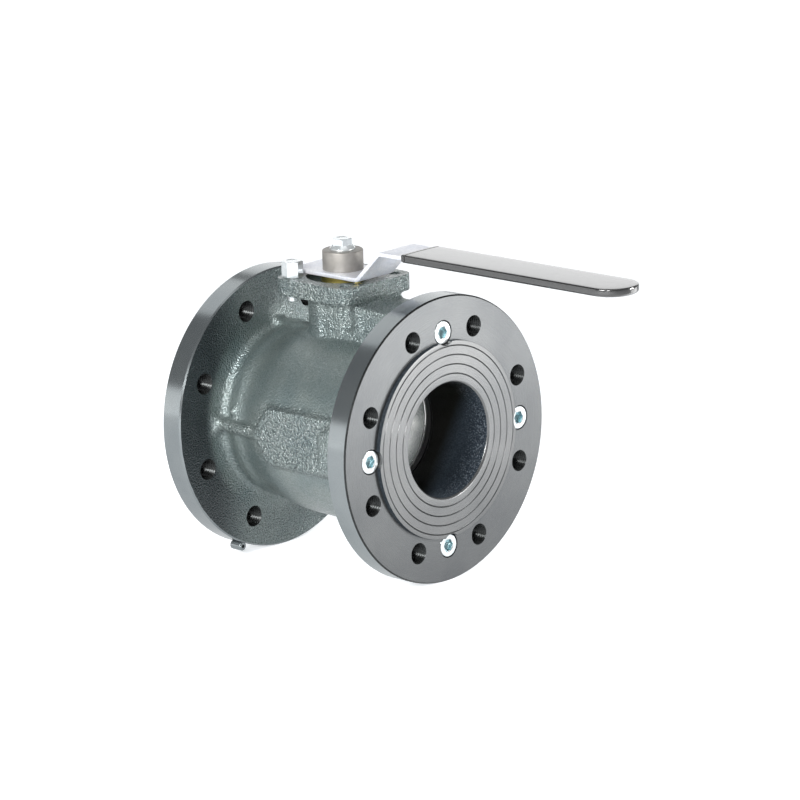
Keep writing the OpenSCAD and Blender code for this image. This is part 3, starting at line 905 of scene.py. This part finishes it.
def insert_screw():
    """One low-head socket screw along X, with a raised ring around its hexagon socket."""
    head_x = front_face_x
    head_r, stem_r, end_x = 8 * MM, 5 * MM, screw_seat_x - 17 * MM
    ring_r, dish_r, dish_x = 4.9 * MM, 4.3 * MM, head_x - 0.45 * MM
    socket_r, socket_x = 4 * MM / math.cos(math.radians(30)), head_x - 4 * MM
    screw = lathe("screw", rounded([
        (end_x, 0), (end_x, stem_r), (screw_seat_x, stem_r), (screw_seat_x, head_r),
        (head_x, head_r, 0.7 * MM), (head_x, ring_r, 0.1 * MM), (dish_x, dish_r), (dish_x, 0)], 4),
        steps=64)
    socket = lathe("socket", [(head_x + 1 * MM, 0), (head_x + 1 * MM, socket_r),
                              (socket_x, socket_r), (socket_x, 3.6 * MM),
                              (socket_x - 1.6 * MM, 0)], steps=6)
    return combine(screw, [socket], "DIFFERENCE")


def insert_screws():
    """Four screws as one mesh of four closed solids."""
    places = list(around(4, screw_circle_r))
    bm = bmesh.new()
    for y, z in places:
        screw = insert_screw()
        screw.data.transform(Matrix.Translation((0, y, z)))
        bm.from_mesh(screw.data)
        bpy.data.objects.remove(screw)
    mesh = bpy.data.meshes.new("insert_screw_set")
    bm.to_mesh(mesh)
    bm.free()
    piece = link("insert_screw_set", mesh)

    def pick(c, n):
        near = min(math.hypot(c.y - y, c.z - z) for y, z in places)
        in_socket = front_face_x - 6 * MM < c.x < front_face_x - 0.5 * MM and near < 4.7 * MM
        return SOCKET if in_socket else ZINC

    paint(piece, ZINC, SOCKET, pick=pick)
    shade(piece, 28)
    place(piece, HOUSING, "insert_screws")


# ---------------------------------------------------------------- lever and its fasteners


def lever_path(thickness):
    """Centre line of the strip in the XZ plane, with its half width at each point."""
    lo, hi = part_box("lever")
    base_z, grip_z = lo.z + thickness / 2, hi.z - thickness / 2
    bend = 4.5 * MM
    tip = 16.35 * MM  # radius of the round end
    clipped = 3 * MM  # clipped corners of the square end
    taper_x, taper = stem_x + 60 * MM, 10 * MM
    rise_x = stem_x + 29 * MM
    corners = [(lo.x, base_z), (rise_x, base_z, bend),
               (rise_x + (grip_z - base_z), grip_z, bend), (hi.x, grip_z)]
    line = rounded(corners, 8)
    dense = []
    for a, b in zip(line, line[1:]):
        steps = max(1, round(math.dist(a, b) / (2 * MM)))
        dense += [(a[0] + (b[0] - a[0]) * k / steps, a[1] + (b[1] - a[1]) * k / steps)
                  for k in range(steps)]
    dense.append(line[-1])
    full = (hi.y - lo.y) / 2

    def half_width(x):
        near = x - lo.x
        if near < clipped:
            return full - clipped + near
        half = full + (tip - full) * min(1.0, max(0.0, (x - taper_x) / taper))
        past = x - (hi.x - tip)
        return half if past <= 0 else math.sqrt(max(tip ** 2 - past ** 2, (1 * MM) ** 2))

    return [(x, z, half_width(x)) for x, z in dense]


def lever():
    """Bent flat strip with rounded edges and a square hole for the stem."""
    t, edge = 3 * MM, 0.5 * MM
    path = lever_path(t)
    verts, faces = [], []
    for i, (x, z, half) in enumerate(path):
        a, b = path[max(i - 1, 0)], path[min(i + 1, len(path) - 1)]
        along = Vector((b[0] - a[0], 0, b[1] - a[1])).normalized()
        up = Vector((-along.z, 0, along.x))
        section = rounded([(half, t / 2, edge), (-half, t / 2, edge), (-half, -t / 2, edge),
                           (half, -t / 2, edge)], 3)
        verts += [Vector((x, y, z)) + up * h for y, h in section]
    n = len(verts) // len(path)
    for i in range(len(path) - 1):
        for k in range(n):
            a, b = i * n + k, i * n + (k + 1) % n
            faces.append((a, b, b + n, a + n))
    faces.append(tuple(range(n)))
    faces.append(tuple(range((len(path) - 1) * n, len(path) * n)))
    piece = from_faces("lever_strip", verts, faces)
    half, out, base_z = 7.6 * MM, 4 * MM, path[0][1]
    hole = box_solid("hole", (stem_x - half, -half, base_z - out),
                     (stem_x + half, half, base_z + out))
    combine(piece, [hole], "DIFFERENCE")
    paint(piece, ZINC_LEVER)
    shade(piece, 30)
    place(piece, TURNING, "lever")


def grip_sleeve():
    """Dipped sleeve: flat top, round sides and tip, and an open mouth with a lip."""
    lo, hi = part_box("grip_sleeve")
    half, mid, b = (hi.y - lo.y) / 2, (hi.z + lo.z) / 2, (hi.z - lo.z) / 2
    top_edge, low_edge, crown = 1.1 * MM, 2.0 * MM, 0.25 * MM
    angles = [math.radians(a) for a in range(0, 91, 15)]
    # rings of the outline from the bottom to the top, as (distance from the edge, height)
    rings = [(14 * MM, -b), (6 * MM, -b)]
    rings += [(low_edge * (1 - math.sin(a)), -b + low_edge * (1 - math.cos(a))) for a in angles]
    rings += [(top_edge * (1 - math.cos(a)), b - crown - top_edge * (1 - math.sin(a)))
              for a in angles]
    rings += [(3 * MM, b - crown * 0.6), (6 * MM, b - crown * 0.25), (14 * MM, b)]
    verts, faces = [], []
    tip_x = hi.x - half
    for inset, z in rings:
        r = half - inset
        start = lo.x + min(inset, 0.6 * MM)
        plan = [(start, -r), (start + 2 * MM, -r), (tip_x, -r)]
        plan += [(tip_x + r * math.cos(math.radians(a)), r * math.sin(math.radians(a)))
                 for a in range(-84, 90, 6)]
        plan += [(tip_x, r), (start + 2 * MM, r), (start, r)]
        verts += [(x, y, mid + z) for x, y in plan]
    n = len(verts) // len(rings)
    for i in range(len(rings) - 1):
        for k in range(n):
            a, c = i * n + k, i * n + (k + 1) % n
            faces.append((a, c, c + n, a + n))
    faces.append(tuple(range(n)))
    faces.append(tuple(range((len(rings) - 1) * n, len(rings) * n)))
    piece = from_faces("grip_sleeve_dipped", verts, faces)
    w, t = 16.6 * MM, 1.7 * MM  # half width and half height of the mouth
    lip, line, deep = 2.6 * MM, 0.9 * MM, 0.45 * MM
    x0, x1, out = lo.x + lip, lo.x + lip + line, 5 * MM
    top = mid + b - crown
    cutters = [box_solid("mouth", (lo.x - 3 * MM, -w, mid - t), (lo.x + 7 * MM, w, mid + t)),
               box_solid("line", (x0, -half - out, top - deep), (x1, half + out, mid + b + out)),
               box_solid("line", (x0, half - deep, mid - out), (x1, half + out, mid + out)),
               box_solid("line", (x0, -half - out, mid - out), (x1, -half + deep, mid + out))]
    combine(piece, cutters, "DIFFERENCE")
    paint(piece, VINYL)
    shade(piece, 40)
    place(piece, TURNING, "grip_sleeve")


def hub_collar():
    """Turned cap over the stem's square end, with a hole for the lever bolt."""
    lo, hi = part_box("hub_collar")
    r, room_r, hole_r = (hi.y - lo.y) / 2, 10.8 * MM, 4.3 * MM
    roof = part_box("stem")[1].z + 0.4 * MM
    outline = rounded([(lo.z, room_r), (lo.z, r, 0.3 * MM), (hi.z, r, 0.8 * MM), (hi.z, hole_r),
                       (roof, hole_r), (roof, room_r)], 4)
    piece = lathe("hub_collar_turned", outline, "z", (stem_x, 0, 0), 128)
    paint(piece, STAINLESS)
    shade(piece, 30)
    place(piece, TURNING, "hub_collar")


def hexagon(name, centre, z0, z1, turn, top=True, bottom=False):
    """Hexagon prism with its corners chamfered at the top, the bottom or both."""
    prism = lathe(name, [(z0, 0), (z0, hex_r), (z1, hex_r), (z1, 0)], "z", (0, 0, 0), 6)
    prism.data.transform(Matrix.Rotation(math.radians(turn), 4, "Z"))
    cut, slope = 0.9672 * hex_r * math.cos(math.radians(30)), math.tan(math.radians(28))
    past = 1 * MM
    wide = hex_r + past
    drop = (wide - cut) * slope
    low = [(z0, 0), (z0, cut), (z0 + drop, wide)] if bottom else [(z0 - past, 0), (z0 - past, wide)]
    high = [(z1 - drop, wide), (z1, cut), (z1, 0)] if top else [(z1 + past, wide), (z1 + past, 0)]
    combine(prism, [lathe("cone", low + high, "z", (0, 0, 0), 96)], "INTERSECT")
    prism.data.transform(Matrix.Translation((centre[0], centre[1], 0)))
    return prism


def head_dish(centre, top, radius):
    """Cutter for the shallow dish in the top of a bolt head."""
    deep, out = 0.35 * MM, 0.3 * MM
    return lathe("dish", [(top - deep, 0), (top - deep, radius), (top + out, radius + 1 * MM),
                          (top + out, 0)], "z", (*centre, 0), 48)


def lever_bolt():
    """Hexagon head with a flange, and its shank through the collar."""
    lo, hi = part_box("lever_bolt")
    centre = (stem_x, 0)
    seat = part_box("hub_collar")[1].z
    head = hexagon("lever_bolt_zinc", centre, seat + 1 * MM, hi.z, -15)
    flange_out, flange_in, flange_top = 8.9 * MM, 7.0 * MM, seat + 3.5 * MM
    flange = lathe("flange", rounded([
        (seat, 0), (seat, flange_out, 0.25 * MM), (seat + 1.1 * MM, flange_out, 0.35 * MM),
        (flange_top, flange_in), (flange_top, 0)], 3), "z", (*centre, 0), 96)
    shank = lathe("shank", [(lo.z, 0), (lo.z, shank_r), (seat + 0.5 * MM, shank_r),
                            (seat + 0.5 * MM, 0)], "z", (*centre, 0), 48)
    combine(head, [flange, shank], "UNION")
    combine(head, [head_dish(centre, hi.z, 3.6 * MM)], "DIFFERENCE")
    paint(head, ZINC)
    shade(head, 25)
    place(head, TURNING, "lever_bolt")


def stop_screw_and_nut():
    """Hexagon screw in the pad's corner, and the lock nut under its head."""
    centre = (stem_x - pad_hole_off, -pad_hole_off)
    lo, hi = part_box("stop_screw")
    nut_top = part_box("stop_nut")[1].z
    turn, gap = 15, 0.02 * MM
    head = hexagon("stop_screw_zinc", centre, nut_top + gap, hi.z, turn)
    shank_top = nut_top + 1 * MM
    shank = lathe("shank", rounded([(lo.z, 0), (lo.z, shank_r, 0.8 * MM), (shank_top, shank_r),
                                    (shank_top, 0)], 3), "z", (*centre, 0), 40)
    combine(head, [shank], "UNION")
    combine(head, [head_dish(centre, hi.z, 3.8 * MM)], "DIFFERENCE")
    nut = hexagon("stop_nut_zinc", centre, pad_top + gap / 2, nut_top, turn, top=False, bottom=True)
    low, high = 90 * MM, 120 * MM
    bore = lathe("bore", [(low, 0), (low, stop_hole_r), (high, stop_hole_r), (high, 0)],
                 "z", (*centre, 0), 40)
    combine(nut, [bore], "DIFFERENCE")
    for piece, node in ((head, "stop_screw"), (nut, "stop_nut")):
        paint(piece, ZINC)
        shade(piece, 25)
        place(piece, HOUSING, node)


def seal_peg():
    """Small drilled lug that sits on the rear flange's rim."""
    lo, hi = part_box("seal_peg")
    y, z, r, hole_r, edge = (lo.y + hi.y) / 2, -93.4 * MM, 3.2 * MM, 1.3 * MM, 0.7 * MM
    outline = rounded([(lo.x, hole_r), (lo.x, r, edge), (hi.x, r, edge), (hi.x, hole_r)], 4)
    piece = lathe("seal_peg_cast", outline, centre=(0, y, z), steps=48)
    flange = rod_x("flange", (0, 0), flange_r + 0.02 * MM, 5 * MM, 25 * MM, 256)
    combine(piece, [flange], "DIFFERENCE")
    paint(piece, RIM)
    shade(piece, 35)
    place(piece, HOUSING, "seal_peg")


def finish_inner_nodes():
    """CAD nodes whose shape is right keep it and get a better material."""
    groups = {
        RUBBER: ["insert_seal_ring", "seat_spring_ring_rear", "seat_spring_ring_front",
                 "stem_o_ring_lower", "stem_o_ring_upper", "dust_seal"],
        PTFE: ["seat_ring_rear", "seat_ring_front", "thrust_washer", "stem_bearing"],
        STAINLESS: ["stem", "antistatic_spring", "antistatic_ball"],
        BRASS: ["gland_ring"],
    }
    for material, names in groups.items():
        for name in names:
            for slot in nodes[name].material_slots:
                slot.material = material


casting()
end_insert()
ball()
insert_screws()
lever()
grip_sleeve()
hub_collar()
lever_bolt()
stop_screw_and_nut()
seal_peg()
finish_inner_nodes()

# ---------------------------------------------------------------- floor, light, camera


def floor():
    """Pale floor that glows a little, like a lit studio sweep."""
    size, gap = 6.0, 0.2 * MM
    lit, seen = 0.24, 0.66  # glow as it lights the valve, and as the camera sees it
    s = Surface("floor", Roughness=0.7, Specular_IOR_Level=0.2)
    grain = s.noise(0.4, 2)
    s.colour(s.ramp(grain, [(0.3, (0.76, 0.77, 0.78)), (0.7, (0.78, 0.79, 0.80))]))
    s.shader.inputs["Emission Color"].default_value = (0.96, 0.98, 1.0, 1)
    camera_ray = s.add("ShaderNodeLightPath").outputs["Is Camera Ray"]
    s.join(s.span(camera_ray, lit, seen, 0, 1), s.shader.inputs["Emission Strength"])
    z = cad_box[0].z - gap
    corners = [(sx * size, sy * size, z) for sx, sy in ((-1, -1), (1, -1), (1, 1), (-1, 1))]
    plane = from_faces("floor", corners, [(0, 1, 2, 3)])
    plane.data.materials.append(s.material)


def softbox(name, azimuth, elevation, distance, width, height, radiance):
    """Area light that faces the valve from the given direction, in degrees and metres."""
    a, e = math.radians(azimuth), math.radians(elevation)
    back = Vector((math.sin(a) * math.cos(e), -math.cos(a) * math.cos(e), math.sin(e)))
    data = bpy.data.lights.new(name, "AREA")
    data.shape = "RECTANGLE"
    data.size, data.size_y = width, height
    data.energy = radiance * math.pi * width * height
    lamp = bpy.data.objects.new(name, data)
    bpy.context.scene.collection.objects.link(lamp)
    centre = (cad_box[0] + cad_box[1]) / 2
    lamp.location = centre + back * distance
    lamp.rotation_mode = "QUATERNION"
    lamp.rotation_quaternion = (-back).to_track_quat("-Z", "Y")
    lamp.visible_camera = False


def studio():
    """A dim room with a bright backdrop behind the valve, a key from the right and soft fills."""
    world = bpy.context.scene.world or bpy.data.worlds.new("studio")
    bpy.context.scene.world = world
    world.use_nodes = True
    tree = world.node_tree
    background = tree.nodes["Background"]
    background.inputs["Color"].default_value = (0.94, 0.97, 1.0, 1)
    path = tree.nodes.new("ShaderNodeLightPath")
    span = tree.nodes.new("ShaderNodeMapRange")
    span.inputs["To Min"].default_value = 0.22
    span.inputs["To Max"].default_value = 0.95
    tree.links.new(path.outputs["Is Camera Ray"], span.inputs["Value"])
    tree.links.new(span.outputs["Result"], background.inputs["Strength"])
    softbox("backdrop", 223, 15, 3.0, 3.4, 1.5, 1.08)
    softbox("overhead", 60, 80, 1.5, 1.2, 0.9, 0.9)
    softbox("top_left", -96, 44, 0.75, 0.36, 0.30, 1.0)
    softbox("key", 122, 14, 0.62, 0.14, 0.18, 46)
    softbox("front", 31, 19, 1.9, 0.3, 0.3, 60)
    softbox("left", -43, 0, 1.8, 1.1, 0.7, 1.35)
    softbox("fill", 4, 26, 1.5, 0.5, 0.5, 25)
    softbox("face", 136.2, -3.7, 0.54, 0.34, 0.14, 2.75)
    bpy.context.scene.view_settings.view_transform = "Standard"


def camera():
    """Long lens from the front right, slightly above, at the photo's angle."""
    azimuth, elevation, roll = math.radians(43.40), math.radians(14.21), math.radians(-1.73)
    target, distance = Vector((135.1 * MM, 0, 21.5 * MM)), 3355.8 * MM
    back = Vector((math.sin(azimuth) * math.cos(elevation),
                   -math.cos(azimuth) * math.cos(elevation), math.sin(elevation)))
    right = Vector((math.cos(azimuth), math.sin(azimuth), 0))
    up = back.cross(right)
    tilted_right = right * math.cos(roll) + up * math.sin(roll)
    tilted_up = up * math.cos(roll) - right * math.sin(roll)
    data = bpy.data.cameras.new("camera")
    data.sensor_width = 36
    data.lens = 219.86
    data.clip_start, data.clip_end = 0.1, 50
    cam = bpy.data.objects.new("camera", data)
    bpy.context.scene.collection.objects.link(cam)
    cam.rotation_mode = "QUATERNION"
    cam.rotation_quaternion = Matrix((tilted_right, tilted_up, back)).transposed().to_quaternion()
    cam.location = target + back * distance
    bpy.context.scene.camera = cam


floor()
studio()
camera()
